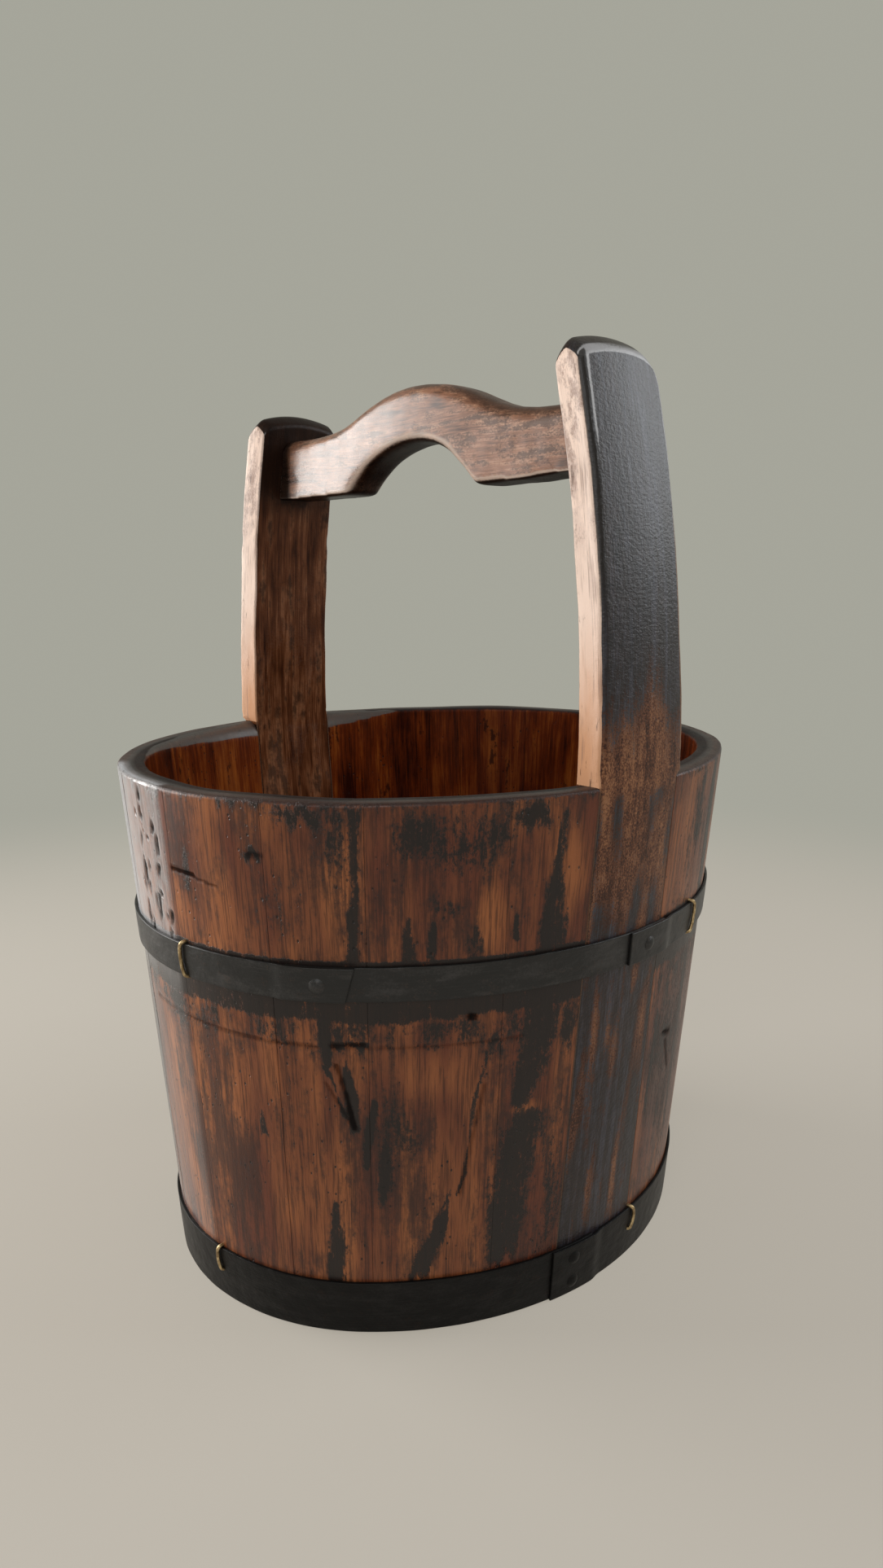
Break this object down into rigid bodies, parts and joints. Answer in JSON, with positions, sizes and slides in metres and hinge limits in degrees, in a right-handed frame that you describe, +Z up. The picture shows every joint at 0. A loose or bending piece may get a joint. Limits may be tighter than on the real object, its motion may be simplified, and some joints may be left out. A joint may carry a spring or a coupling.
{
  "type": "wooden piggin",
  "caption": "Oval coopered water bucket of wooden staves with two iron hoops; two tall staves bow inwards above the rim and carry a carved arched wooden handle.",
  "frame": {"origin": "on the surface the bucket stands on, under the middle of the oval tub", "axes": "+Z up, X along the oval's long axis, Y across it from the near tall stave (-Y) to the far one (+Y)"},
  "size_m": [0.3796, 0.3264, 0.507],
  "materials": {
    "stave_wood": "old oiled softwood, red-brown with black stains, satin",
    "upright_wood": "old oiled hardwood, dark outside, pale worn edges, satin",
    "handle_wood": "hand-polished worn hardwood",
    "board_wood": "old oiled softwood, satin",
    "bamboo": "split bamboo",
    "hoop_iron": "wrought strap, worn black paint",
    "rivet_iron": "hammered, worn black paint",
    "brass_wire": "aged drawn wire"
  },
  "bodies": {
    "root": {"bottom_board_far": "board_wood", "bottom_board_middle": "board_wood", "bottom_board_near": "board_wood", "bottom_board_pins": "bamboo", "bottom_hoop_rivets": "rivet_iron", "bottom_hoop_staples": "brass_wire", "bottom_hoop_strap": "hoop_iron", "carry_handle": "handle_wood", "far_upright_stave": "upright_wood", "middle_hoop_long_strap": "hoop_iron", "middle_hoop_rivets": "rivet_iron", "middle_hoop_splice_strap": "hoop_iron", "middle_hoop_staples": "brass_wire", "near_upright_stave": "upright_wood", "stave_edge_pins": "bamboo", "stave_left_1": "stave_wood", "stave_left_2": "stave_wood", "stave_left_3": "stave_wood", "stave_left_4": "stave_wood", "stave_left_5": "stave_wood", "stave_left_6": "stave_wood", "stave_left_7": "stave_wood", "stave_left_8": "stave_wood", "stave_left_9": "stave_wood", "stave_right_1": "stave_wood", "stave_right_2": "stave_wood", "stave_right_3": "stave_wood", "stave_right_4": "stave_wood", "stave_right_5": "stave_wood", "stave_right_6": "stave_wood", "stave_right_7": "stave_wood", "stave_right_8": "stave_wood", "stave_right_9": "stave_wood"}
  },
  "joints": []
}
